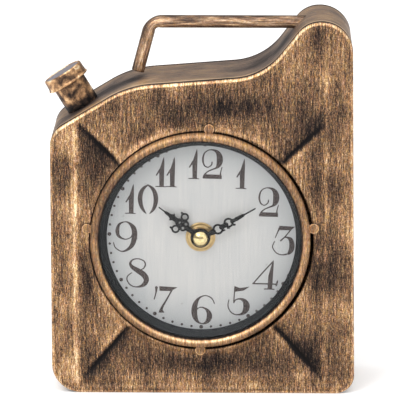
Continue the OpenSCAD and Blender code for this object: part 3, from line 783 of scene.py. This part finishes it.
def lug(name, turn, material):
    """A flat tongue with a wider round end, which bridges the gap round the bezel."""
    neck, end_r, root, end, low, high = 2.4, 3.1, 61.0, 64.0, 29.2, 30.4
    spread = math.degrees(math.asin(neck / end_r))
    # The lug's side walls are painted dark as shade; its rounded top edge is bright
    levels = [(low, 0, 0.1), (high - 0.5, 0, 0.1), (high - 0.2, 0.1, 0.35), (high, 0.45, 0.76),
              (high, 1.0, 0.54)]
    points, wear_and_light_values = [], []
    for height, inset, worn in levels:
        half = neck - inset
        ring = [(root, -half), (root + 1, -half)]
        ring += arc((end, 0), end_r - inset, spread - 180, 180 - spread, 24)
        ring += [(root + 1, half), (root, half)]
        points += list(stand([on_dial(u, v, turn) for u, v in ring], -height))
        wear_and_light_values += [worn] * len(ring)
    faces = tube_faces(len(levels), len(ring))
    piece = make_piece(name, points, faces, material, "can", smooth=False)
    set_wear(piece, wear_and_light_values, np.array(points)[:, [2, 0]])


def reflector():
    """The cone between glass and dial. Its small end sits off centre, so one side looks wider."""
    low, high = (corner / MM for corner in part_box("reflector_ring"))
    wide, narrow, shift = 56.4, 53.3, np.array([0.45, -0.7])
    circle = np.array(arc((0, 0), 1, 0, 360, 180)[:-1])
    rows = []
    for share, extra in ((0, 0), (0.05, 0), (0.5, 0), (0.95, 0), (1, 0), (1, 1.5), (0, 0.15)):
        radius = wide + (narrow - wide) * share + extra
        level = low.y + (high.y - low.y) * share
        rows.append(stand(DIAL + shift * share + radius * circle, level))
    faces = grid_faces(len(rows), len(circle), close_rows=True)
    make_piece("reflector_wall", np.concatenate(rows), faces, recess_wall(), "can",
               ["reflector_ring"])


def washer():
    """The turned brass washer under the hands, with a raised rim and a groove."""
    base = -DIAL_FACE
    profile = [(4.05, base), (8.3, base), (8.4, base + 0.1), (8.4, base + 0.4), (8.15, base + 0.6),
               (7.5, base + 0.6), (7.1, base + 0.35), (6.5, base + 0.35), (6.2, base + 0.6),
               (4.05, base + 0.6)]
    lathe("washer_ring", profile, (DIAL[0], 0, DIAL[1]), (0, -1, 0),
          plain_metal("brass_washer", srgb(204, 176, 126), 0.34), "can",
          ["brass_washer"], closed=True)


# Neck and cap lean to the left about the neck's foot
NECK_FOOT = (-67.6, 0, 160.7)
NECK_LEAN = math.radians(31.5)
NECK_AXIS = (-math.sin(NECK_LEAN), 0, math.cos(NECK_LEAN))
NECK_R, NECK_LEN, CAP_R, CAP_H = 9.5, 15.4, 12.36, 7.1


def filler():
    """The drawn neck, and the pressed cap with its bare metal crown."""
    end = NECK_LEN + CAP_H - 1.6
    profile = [(NECK_R, -4.5), (NECK_R, 2), (NECK_R, 6), (NECK_R, NECK_LEN - 2),
               (NECK_R, end - 0.5), (NECK_R - 0.5, end), (NECK_R - 3, end)]
    lathe("neck_stub", profile, NECK_FOOT, NECK_AXIS, bronze_mottled("bronze_neck"),
          "can", ["filler_neck"], [0.05, 0.12, 0.6, 0.6, 0.4, 0.3, 0.3])
    top = NECK_LEN + CAP_H
    rim = CAP_R - 1.8
    skirt = [(NECK_R + 0.1, NECK_LEN + 0.2), (NECK_R + 0.4, NECK_LEN)]
    skirt += [(CAP_R - 0.5, NECK_LEN)] + arc((CAP_R - 0.6, NECK_LEN + 0.6), 0.6, -70, 80, 6)
    skirt += [(CAP_R - 0.45, NECK_LEN + 1.7), (CAP_R - 0.6, NECK_LEN + 3),
              (CAP_R - 0.7, top - 0.9)]
    skirt += arc((CAP_R - 1.5, top - 0.8), 0.8, 0, 90, 6)
    skirt += [(rim, top), (rim - 0.2, top - 0.3), (rim - 0.4, top - 0.6)]
    heights = np.array([h for _, h in skirt])
    # Painted highlights along the top rim and on the lower bead
    wear_and_light = 0.6 + 0.16 * smooth_step((heights - top + 1.2) / 1.0)
    wear_and_light += 0.14 * (np.abs(heights - NECK_LEN - 0.6) < 0.8)
    lathe("cap_shell", skirt, NECK_FOOT, NECK_AXIS, bronze_mottled("bronze_cap", 0.02),
          "cap", ["filler_cap"], wear_and_light)
    crown = [(rim - 0.1, top - 1.2), (rim - 0.1, top - 0.4), (rim - 0.5, top - 0.3),
             (rim / 2, top - 0.25), (0.3, top - 0.22)]
    lathe("cap_crown", crown, NECK_FOOT, NECK_AXIS,
          plain_metal("cap_crown", srgb(190, 183, 192), 0.38), "cap")


# ---- The handle ----

HANDLE_R, HANDLE_BACK = 3.6, 4
BEND_CENTRE, BEND_R, LEG_LEAN = (-23.9, 201.1), 6.8, math.radians(15)
LEG_LEN, RUN_END = 24, 58


def handle_path():
    """Points up the leg, round the bend and along the run, each with how much the tube flattens."""
    cx, cz = BEND_CENTRE
    sine, cosine = math.sin(LEG_LEAN), math.cos(LEG_LEAN)
    path = [(cx - BEND_R * cosine - k * sine, cz + BEND_R * sine - k * cosine, 0)
            for k in range(LEG_LEN, 0, -1)]
    for share in np.linspace(0, 1, 19):
        a = math.pi - LEG_LEAN - (math.pi / 2 - LEG_LEAN) * share
        flat = 0.12 * math.sin(math.pi * share)
        path.append((cx + BEND_R * math.cos(a), cz + BEND_R * math.sin(a), flat))
    path += [(x, cz + BEND_R, 0) for x in np.linspace(cx, RUN_END, 61)[1:]]
    return np.array(path)


def handle():
    """A tube swept along its path, with a painted highlight in front, painted shade on its outer
    side, and darker towards its foot.
    """
    path = handle_path()
    tangents = np.gradient(path[:, :2], axis=0)
    tangents /= np.hypot(*tangents.T)[:, None]
    sides = 40
    points, grain, wear_and_light_values = [], [], []
    for (x, z, flat), (along_x, along_z), run in zip(path, tangents, arc_lengths(path[:, :2])):
        on_leg = run < LEG_LEN
        base = 0.46 + 0.1 * on_leg - 0.1 * (1 - np.clip((run - 5) / 10, 0, 1))
        for s in range(sides):
            a = 2 * math.pi * s / sides
            up, out = HANDLE_R * (1 - flat) * math.cos(a), HANDLE_R * math.sin(a)
            points.append((x - along_z * up, HANDLE_BACK + out, z + along_x * up))
            grain.append((run, HANDLE_R * a))
            # Painted highlight on the front of the tube, painted shade on its outer side
            above = (0.2 if on_leg else 0.08) * max(0, math.cos(a))
            wear_and_light_values.append(base + 0.2 * max(0, -math.sin(a)) - above)
    material = brushed_bronze("bronze_handle", WORN_BAR, 1.5, 0.6, 0.6, 0.6, -0.07)
    piece = make_piece("handle_bar", points, tube_faces(len(path), sides, flip=True), material,
                       "can", ["handle"])
    set_wear(piece, wear_and_light_values, np.array(grain))


# ---- Flat shapes: the print on the dial, and the hands ----

def stroke_field(x, y, points):
    """Distance outside a brush stroke through (x, y, width) points, joined by a smooth curve."""
    given = np.array(points, float)
    padded = np.vstack([2 * given[0] - given[1], given, 2 * given[-1] - given[-2]])
    curve = []
    for a, b, c, d in zip(padded, padded[1:], padded[2:], padded[3:]):
        for t in np.linspace(0, 1, 7)[:-1]:
            curve.append(0.5 * (2 * b + (c - a) * t + (2 * a - 5 * b + 4 * c - d) * t * t
                                + (3 * b - a - 3 * c + d) * t ** 3))
    curve.append(given[-1])
    field = np.full(x.shape, 1e9)
    for (ax, ay, aw), (bx, by, bw) in zip(curve, curve[1:]):
        away, along = to_segment(x, y, (ax, ay), (bx, by))
        field = np.minimum(field, away - (aw + (bw - aw) * along) / 2)
    return field


def polygon_field(x, y, points):
    """Signed distance to a polygon, negative inside."""
    away = np.full(x.shape, 1e9)
    inside = np.zeros(x.shape, bool)
    for (ax, ay), (bx, by) in zip(points, points[1:] + points[:1]):
        away = np.minimum(away, to_segment(x, y, (ax, ay), (bx, by))[0])
        crosses = (ay > y) != (by > y)
        slope = (bx - ax) / (by - ay) if by != ay else 0
        inside ^= crosses & (x < ax + slope * (y - ay))
    return np.where(inside, -away, away)


def ring_field(x, y, centre, radius, wall):
    """Signed distance to a ring, from its outer radius and its wall."""
    return np.abs(np.hypot(x - centre[0], y - centre[1]) - radius + wall / 2) - wall / 2


def shape_mesh(field, low, high, cell):
    """Marching squares over a field that is negative inside: points, faces and depth inside."""
    xs = np.arange(low[0], high[0] + cell, cell)
    ys = np.arange(low[1], high[1] + cell, cell)
    gx, gy = np.meshgrid(xs, ys, indexing="ij")
    values = field(gx, gy)
    points, depths, faces, known = [], [], [], {}

    def point(key, place, depth):
        if key not in known:
            known[key] = len(points)
            points.append(place)
            depths.append(depth)
        return known[key]

    def crossing(a, b):
        if b < a:
            a, b = b, a
        va, vb = values[a], values[b]
        t = min(max(va / (va - vb), 0.02), 0.98)
        place = (gx[a] + (gx[b] - gx[a]) * t, gy[a] + (gy[b] - gy[a]) * t)
        return point((a, b), place, 0.0)

    near = values < 0
    busy = near[:-1, :-1] | near[1:, :-1] | near[:-1, 1:] | near[1:, 1:]
    for i, j in zip(*np.nonzero(busy)):
        corners = [(i, j), (i + 1, j), (i + 1, j + 1), (i, j + 1)]
        face = []
        for a, b in zip(corners, corners[1:] + corners[:1]):
            if near[a]:
                face.append(point(a, (gx[a], gy[a]), -values[a]))
            if near[a] != near[b]:
                face.append(crossing(a, b))
        if len(face) > 2:
            faces.append(face)
    return np.array(points), faces, np.array(depths)


def flat_piece(name, field, low, high, cell, to_space, level, thickness, material,
               body, replaced=(), rounding=0.0):
    """A flat shape raised towards the front from a level, with its edge rounded over."""
    flat, faces, depths = shape_mesh(field, low, high, cell)
    edge_use = {}
    for face in faces:
        for a, b in zip(face, face[1:] + face[:1]):
            edge_use[(a, b)] = edge_use.get((a, b), 0) + 1
    rim = [(a, b) for a, b in edge_use if (b, a) not in edge_use]
    spots = np.array([to_space(u, v) for u, v in flat])
    heights = np.full(len(flat), thickness)
    if rounding:
        heights -= rounding * np.square(1 - np.clip(depths / rounding, 0, 1))
    top, base = stand(spots, level - heights), stand(spots, level)
    count = len(flat)
    all_faces = [list(face) for face in faces]
    all_faces += [[count + v for v in reversed(face)] for face in faces]
    all_faces += [[b, a, count + a, count + b] for a, b in rim]
    make_piece(name, np.concatenate([top, base]), all_faces, material, body, replaced,
               smooth=bool(rounding))


# Numerals of a high-contrast face: strokes are (x, y, width) and blocks are corners, both in
# thousandths of the numeral's height from the middle of its foot
NUMERALS = {
    "0": ([[(0, 977, 30), (-130, 877, 90), (-225, 723, 130), (-262, 508, 145), (-230, 292, 120),
           (-154, 123, 80), (-70, 10, 20)], [(0, 977, 30), (130, 877, 90), (225, 723, 130),
           (262, 508, 145), (235, 292, 120), (160, 123, 80), (60, 10, 20)]],
          []),
    "1": ([[(-60, 580, 50), (-120, 480, 40), (-170, 400, 35)], [(-200, 12, 20), (-30, 12, 25),
           (130, 0, 20)]],
          [[(-70, 0), (65, 0), (88, 800), (78, 1000), (60, 970), (-75, 550)]]),
    "2": ([[(-17, 564, 30), (-38, 470, 30), (-154, 393, 25), (-274, 461, 35), (-321, 650, 50),
           (-274, 855, 35), (-162, 957, 25), (-26, 983, 30), (128, 930, 90), (215, 803, 165),
           (238, 632, 195), (205, 479, 150), (128, 376, 60), (9, 325, 35), (-145, 256, 30),
           (-248, 162, 40), (-300, 70, 50)], [(275, 60, 50), (262, 200, 30), (310, 390, 20)]],
          [[(-330, 30), (-220, 150), (270, 135), (300, 0), (-300, 15)]]),
    "3": ([[(-130, 930, 60), (-200, 780, 30), (-276, 600, 20)], [(235, 870, 30), (60, 650, 30),
           (-90, 500, 45)], [(30, 615, 30), (130, 605, 50), (235, 530, 130), (280, 345, 165),
           (250, 170, 150), (170, 60, 80)], [(100, 35, 45), (-20, 12, 30), (-140, 30, 25),
           (-250, 90, 25), (-335, 205, 25), (-365, 310, 25), (-300, 470, 20)]],
          [[(-150, 1000), (370, 970), (235, 860), (-140, 860), (-130, 975)]]),
    "4": ([[(190, 950, 30), (-130, 590, 35), (-460, 200, 30)], [(-470, 195, 35), (0, 185, 35),
           (330, 175, 30)], [(350, 290, 30), (325, 200, 45), (300, 120, 30)], [(-90, 10, 25),
           (70, 10, 30), (230, 0, 25)]],
          [[(210, 1000), (215, 900), (165, 0), (20, 0), (45, 450), (170, 900)]]),
    "5": ([[(-140, 970, 35), (-165, 650, 28), (-175, 440, 40)], [(-170, 450, 20), (-100, 535, 30),
           (40, 560, 50), (180, 490, 130), (245, 340, 200), (220, 180, 180), (120, 60, 90),
           (-30, 15, 35), (-180, 40, 25), (-300, 140, 25), (-370, 320, 25), (-340, 530, 20)]],
          [[(-150, 1000), (20, 930), (335, 975), (150, 855), (-140, 810)]]),
    "6": ([[(425, 714, 20), (380, 830, 25), (300, 925, 30), (150, 985, 25), (0, 955, 35),
           (-120, 860, 80), (-210, 690, 150), (-245, 470, 185), (-220, 260, 160), (-140, 100, 80),
           (0, 20, 30), (120, 45, 70), (220, 140, 140), (260, 280, 170), (230, 420, 130),
           (140, 530, 60), (0, 585, 30), (-100, 560, 20), (-160, 500, 20)]],
          []),
    "7": ([[(-270, 860, 80), (-285, 680, 35), (-345, 460, 25)], [(270, 820, 40), (100, 500, 40),
           (-70, 200, 65), (-120, 70, 100)]],
          [[(-170, 900), (420, 865), (300, 800), (210, 745), (-160, 750)], [(-195, 0), (-10, 0),
           (-50, 60), (-120, 130), (-170, 80)]]),
    "8": ([[(125, 620, 20), (200, 665, 30), (255, 790, 35), (200, 915, 30), (30, 985, 25),
           (-150, 960, 35), (-235, 870, 60), (-240, 790, 80), (-165, 690, 120), (20, 570, 165),
           (200, 440, 180), (285, 270, 165), (200, 100, 120), (-20, 20, 35), (-230, 75, 30),
           (-355, 250, 30), (-330, 400, 25), (-200, 505, 20)]],
          []),
    "9": ([[(-410, 310, 20), (-355, 147, 25), (-170, 20, 30), (0, 45, 60), (200, 220, 130),
           (287, 530, 170), (260, 800, 150), (110, 980, 60), (-40, 1020, 30), (-220, 930, 70),
           (-280, 710, 120), (-230, 530, 80), (-40, 430, 30), (140, 475, 25), (210, 580, 20)]],
          []),
}
NUMERAL_H = 17.0
BOLD = 0.1
PRINT_AT = DIAL + np.array([1.5, 0.3])
PRINT_TURN = math.radians(1.2)
PRINT_H = 0.04
# Distance of each hour's numeral from the middle of the print, where it isn't the usual one
HOUR_R = {3: 45.3, 9: 43.6, 12: 41.4}
USUAL_HOUR_R = 42.2
# By hour: how much lower a numeral was printed, how far apart its two digits stand, and how far
# to the right it was printed
DROPS = {2: 0.4, 3: 1.4, 4: 0.4, 5: 0.5, 6: 0.7, 8: 1.2, 9: 1.6, 10: 0.4, 12: -0.3}
PITCHES = {10: 9.4, 11: 6.0, 12: 10.0}
DRIFTS = {10: 0.35, 12: -0.6}
# Distance of the minute dots from the middle of the print, and the distance from the middle of
# the dial up to which a dot is seen
MINUTE_R, SEEN_R = 52.9, 54.2


def drawing(strokes, blocks=(), rings=(), unit=1.0, bold=0.0, mirrored=False):
    """The field of a shape drawn in a unit, made bolder all round. A mirrored one is drawn above
    its x axis."""
    def field(x, y):
        x, y = x / unit, (abs(y) if mirrored else y) / unit
        parts = [stroke_field(x, y, stroke) for stroke in strokes]
        parts += [polygon_field(x, y, block) for block in blocks]
        parts += [ring_field(x, y, *ring) for ring in rings]
        return np.minimum.reduce(parts) * unit - bold

    return field


def print_spot(radius, degrees):
    """A place on the print, at an angle clockwise from twelve."""
    around = math.radians(degrees) + PRINT_TURN
    return PRINT_AT + radius * np.array([math.sin(around), math.cos(around)])


def hour_numerals(ink):
    """Upright numerals at the hours."""
    low, high = (-0.55 * NUMERAL_H, -0.03 * NUMERAL_H), (0.5 * NUMERAL_H, 1.08 * NUMERAL_H)
    for hour in range(1, 13):
        middle = print_spot(HOUR_R.get(hour, USUAL_HOUR_R), 30 * hour)
        left = middle[0] + DRIFTS.get(hour, 0) - PITCHES.get(hour, 0) / 2
        foot = middle[1] - DROPS.get(hour, 0) - NUMERAL_H / 2
        for k, digit in enumerate(str(hour)):
            across = left + k * PITCHES.get(hour, 0)
            name = f"numeral_{hour}" + ("ab"[k] if hour > 9 else "")
            shape = drawing(*NUMERALS[digit], unit=NUMERAL_H / 1000, bold=BOLD)
            flat_piece(name, shape, low, high, cell=0.16,
                       to_space=lambda u, v: (across + u, foot + v), level=DIAL_FACE,
                       thickness=PRINT_H, material=ink, body="can")


def minute_dots(ink):
    """A dot for each minute, larger at each fifth."""
    sides = 16
    points, faces = [], []
    for minute in range(60):
        spot = print_spot(MINUTE_R, 6 * minute)
        if np.hypot(*(spot - DIAL)) > SEEN_R:
            continue
        radius = 1.1 if minute % 5 == 0 else 0.7
        faces += [[len(points) + v for v in face] for face in tube_faces(2, sides)]
        for level in (DIAL_FACE, DIAL_FACE - PRINT_H):
            points += list(stand(arc(spot, radius, 0, 360, sides)[:-1], level))
    make_piece("minute_dots", points, faces, ink, "can", smooth=False)


# The hands in millimetres, pointing along x: strokes, and rings as centre, outer radius and wall
HANDS = {
    "hour": {
        "strokes": [
            [(4.8, 0, 3.2), (6.8, 0, 2.4), (9.0, 0, 3.0)],
            [(9.0, 0, 1.4), (11.5, 0, 1.0), (13.4, 0, 1.6)],
            [(16.4, 0, 2.6), (18.5, 0, 2.6), (20.0, 0, 3.0), (21.2, 0, 1.9), (24.2, 0, 1.5),
             (25.0, 0, 0.7), (27, 0, 0.55), (29.1, 0, 0.5)],
            [(12.2, 2.6, 1.4), (13.6, 2.0, 1.4), (15.8, 1.2, 1.6)],
            [(16.2, 5.3, 0.8), (17.1, 5.2, 1.0)],
            [(19.4, 1.0, 1.0), (20.0, 1.9, 0.8)],
        ],
        "rings": [((0, 0), 5.5, 3.0), ((11.3, 1.45), 1.75, 0.85), ((15.0, 0), 1.85, 0.9),
                  ((14.3, 4.3), 2.3, 0.85)],
        "mirrored": True,
    },
    "minute": {
        "strokes": [
            [(4.3, 0, 3.0), (6.2, 0, 2.4), (8.2, 0, 3.2)],
            [(13.2, -1.9, 1.0), (14.4, -2.3, 0.8)],
            [(13.8, 0.0, 2.8), (15.6, 0.0, 2.6), (16.6, 0, 2.6)],
            [(16.4, -2.0, 0.8), (17.2, -2.5, 0.8)],
            [(20.0, -1.8, 1.1), (20.9, -2.4, 0.9)],
            [(20.6, 0, 2.3), (22.6, 0, 1.8), (23.6, 0, 2.3), (24.6, 0, 1.6), (25.6, 0, 2.1),
             (26.6, 0, 1.5), (27.4, 0, 1.7), (28.4, 0, 0.8), (31, 0, 0.65), (35.4, 0, 0.6)],
        ],
        "rings": [((0, 0), 4.9, 3.4), ((11.4, 0), 3.0, 1.0), ((18.4, 0.35), 2.75, 0.95)],
    },
}
# How the hands stand at rest, in degrees clockwise from twelve: ten past ten
HAND_TURNS = {"hour": 307.2, "minute": 60.2}
# How far each hand's field is sampled: towards its tip, past its hub, and to either side
HAND_REACH = {"hour": 30.5, "minute": 36.5}
HAND_TAIL, HAND_HALF = 6.6, 7.4


def hands():
    """Stamped and lacquered hands with scrolls, standing for the plain CAD ones."""
    lacquer = moulded("black_lacquer", srgb(9, 9, 10), roughness=0.5, texture=0.01, gloss=0.2)
    for hand, shape in HANDS.items():
        turn = math.radians(90 - HAND_TURNS[hand])
        flat_piece(f"{hand}_hand_scroll", drawing(bold=0.08, **shape),
                   low=(-HAND_TAIL, -HAND_HALF), high=(HAND_REACH[hand], HAND_HALF),
                   cell=0.12, to_space=lambda u, v: on_dial(u, v, turn),
                   level=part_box(f"{hand}_hand")[1].y / MM, thickness=0.48, material=lacquer,
                   body=hand, replaced=[f"{hand}_hand"], rounding=0.16)


# ---- CAD nodes that keep their shape ----

def dress():
    """Materials for the CAD nodes that stay visible, by their slot in the record."""
    metals = {"brass": (196, 172, 130, 0.3), "steel": (190, 192, 194, 0.35),
              "crystal_can": (205, 206, 208, 0.18), "contact": (208, 206, 200, 0.24),
              "magnet": (92, 94, 98, 0.5)}
    looks = {name: plain_metal(name, srgb(*levels), rough)
             for name, (*levels, rough) in metals.items()}
    looks |= {
        "glass": clear_glass(),
        "dial": dial_face(),
        "cup": moulded("cup_paint", srgb(40, 38, 37), roughness=0.55),
        "rubber": moulded("rubber", srgb(30, 30, 30), roughness=0.75),
        "dome_brass": plain_metal("dome_brass", srgb(236, 214, 160), 0.16, grain=0.05),
        "black_case": moulded("black_case", srgb(38, 38, 40), roughness=0.5, texture=0.05),
        "knob": moulded("knob", srgb(30, 30, 32), roughness=0.42),
        "white_gear": moulded("white_gear", srgb(232, 226, 208), roughness=0.4, lightness=0.05),
        "bridge": moulded("bridge", srgb(214, 208, 192), roughness=0.5, lightness=0.05),
        "board": circuit_lacquer(),
        "epoxy": moulded("epoxy", srgb(16, 16, 16), roughness=0.25, texture=0.01),
        "copper_wire": wound_wire(),
        "cell": cell_sleeve(),
    }
    for row in frame["record"]["subparts"]:
        if row["material_slot"] in looks:
            mesh = nodes[row["node"]].data
            mesh.materials.clear()
            mesh.materials.append(looks[row["material_slot"]])
    for name in ("movement_case", "movement_cover", "setting_knob", "circuit_board", "hex_nut"):
        edge = nodes[name].modifiers.new("edge", "BEVEL")
        edge.width = 0.25 * MM
        edge.segments = 2
        edge.limit_method = "ANGLE"


# ---- Studio ----

def aim(thing, place, target):
    """Stands a light or the camera at a place and turns it towards a target."""
    thing.location = place
    thing.rotation_euler = (Vector(target) - Vector(place)).to_track_quat("-Z", "Y").to_euler()


def soft_light(name, place, size, energy):
    """A square soft box aimed at the middle of the clock."""
    lamp = bpy.data.lights.new(name, "AREA")
    lamp.size = size
    lamp.energy = energy
    aim(put(name, lamp), place, (0, 0, 0.11))


def studio():
    """A white floor, and soft light from above and in front."""
    half = 6
    mesh = bpy.data.meshes.new("floor")
    mesh.from_pydata([(-half, -half, 0), (half, -half, 0), (half, half, 0), (-half, half, 0)],
                     [], [(0, 1, 2, 3)])
    shader = Shader("floor_white", roughness=0.9, emission_strength=0.14)
    shader.set("Base Color", (0.96, 0.96, 0.96))
    shader.set("Emission Color", (1.0, 1.0, 1.0))
    mesh.materials.append(shader.material)
    put("floor", mesh)
    world = bpy.data.worlds.new("studio")
    world.use_nodes = True
    sky = world.node_tree.nodes["Background"].inputs
    sky["Color"].default_value = (1, 1, 1, 1)
    sky["Strength"].default_value = 0.45
    bpy.context.scene.world = world
    soft_light("key", (-0.6, -1.0, 1.1), 0.6, 9)
    soft_light("fill", (1.1, -0.9, 0.5), 0.9, 3)
    lamp = bpy.data.lights.new("overhead", "SUN")
    lamp.energy = 2.3
    lamp.angle = math.radians(100)
    put("overhead", lamp).rotation_euler = (math.radians(20), math.radians(-4), 0)
    bpy.context.scene.view_settings.view_transform = "Standard"


def camera():
    """A view from the front, a little from the right and above, almost two metres away."""
    azimuth, elevation, distance = math.radians(0.95), math.radians(13.4), 1.9
    target = Vector((-0.00105, FRONT * MM, 0.1127))
    back = Vector((math.sin(azimuth) * math.cos(elevation),
                   -math.cos(azimuth) * math.cos(elevation), math.sin(elevation)))
    lens = bpy.data.cameras.new("camera")
    lens.sensor_width = 36
    lens.lens = 305.7
    lens.clip_start, lens.clip_end = 0.05, 50
    view = put("camera", lens)
    aim(view, target + back * distance, target)
    bpy.context.scene.camera = view


# ---- The clock ----

front_paint = brushed_bronze("bronze_front", BRONZE, 0.8, 1.2, 1.6, 0.8, -0.05)
back_paint = brushed_bronze("bronze_back", BRONZE, 0.8, 1.1, 1.5, 0.5, -0.04)
panel("front_sheet", front_paint, pressed=True)
panel("back_sheet", back_paint, pressed=False)
band()
handle()
filler()
bezel()
reflector()
washer()
ink = print_ink()
hour_numerals(ink)
minute_dots(ink)
hands()
dress()
studio()
camera()
